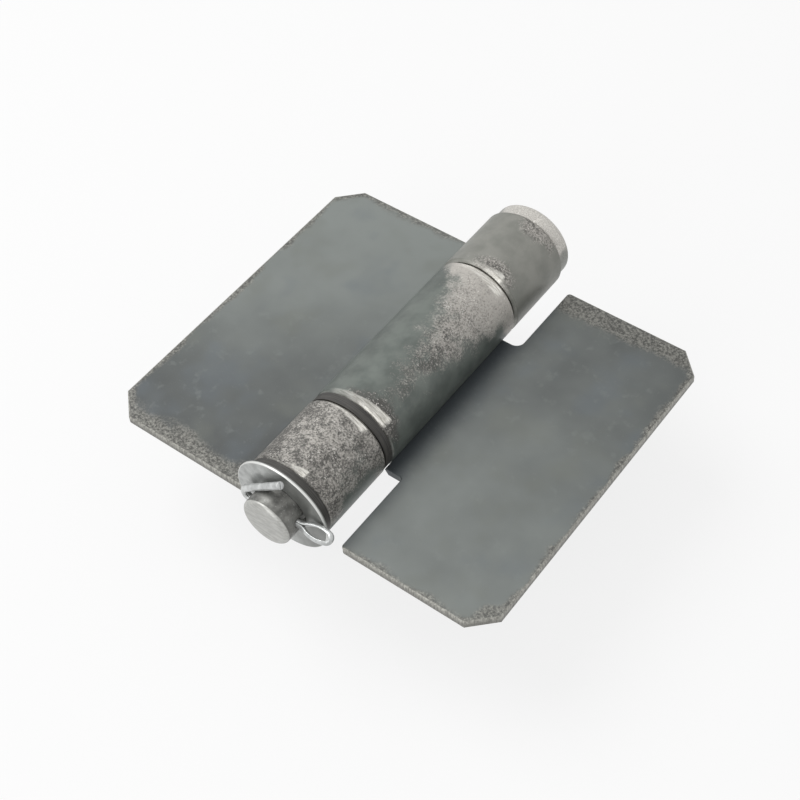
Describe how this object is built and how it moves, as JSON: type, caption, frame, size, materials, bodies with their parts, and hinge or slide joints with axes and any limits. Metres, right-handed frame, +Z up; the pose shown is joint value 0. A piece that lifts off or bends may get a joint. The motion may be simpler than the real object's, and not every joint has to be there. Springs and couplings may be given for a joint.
{
  "type": "weld-on barrel hinge",
  "caption": "Weld-on barrel hinge lying open: two plain steel leaves on thick tube barrels, joined by a headed pin held by a washer and a cotter pin.",
  "frame": {"origin": "under the middle of the open hinge, at the height of the flat washer's lowest point", "axes": "+X across the leaves from the two-barrel leaf to the one-barrel leaf, +Y along the pin from its free tip to its head, +Z up out of the leaves' top faces"},
  "size_m": [0.1204, 0.1176, 0.0284],
  "materials": {
    "mill_scale_steel": "hot-rolled plate with its blue-grey scale, rubbed brownish at the edges",
    "turned_tube": "mottled grey-brown tube with bright ground ends",
    "weld_metal": "rippled bead, dull grey",
    "dark_thrust": "plain dark brown-black",
    "zinc": "bright zinc, slightly clouded"
  },
  "bodies": {
    "left_leaf": {"left_leaf": "mill_scale_steel", "front_barrel": "turned_tube", "rear_barrel": "turned_tube", "front_weld": "weld_metal", "rear_weld": "weld_metal", "front_thrust_washer": "dark_thrust", "middle_thrust_washer": "dark_thrust"},
    "right_leaf": {"right_leaf": "mill_scale_steel", "middle_barrel": "turned_tube", "middle_weld": "weld_metal"},
    "pin": {"hinge_pin": "zinc", "flat_washer": "zinc", "cotter_pin": "zinc"}
  },
  "joints": [
    {"name": "leaf_swing", "type": "hinge", "parent": "left_leaf", "child": "right_leaf", "pos_m": [0, 0, 0.0141], "axis": [0, -1, 0], "range_deg": [-130, 185]},
    {"name": "pin_spin", "type": "hinge", "parent": "left_leaf", "child": "pin", "pos_m": [0, 0, 0.0141], "axis": [0, 1, 0], "continuous": true}
  ]
}
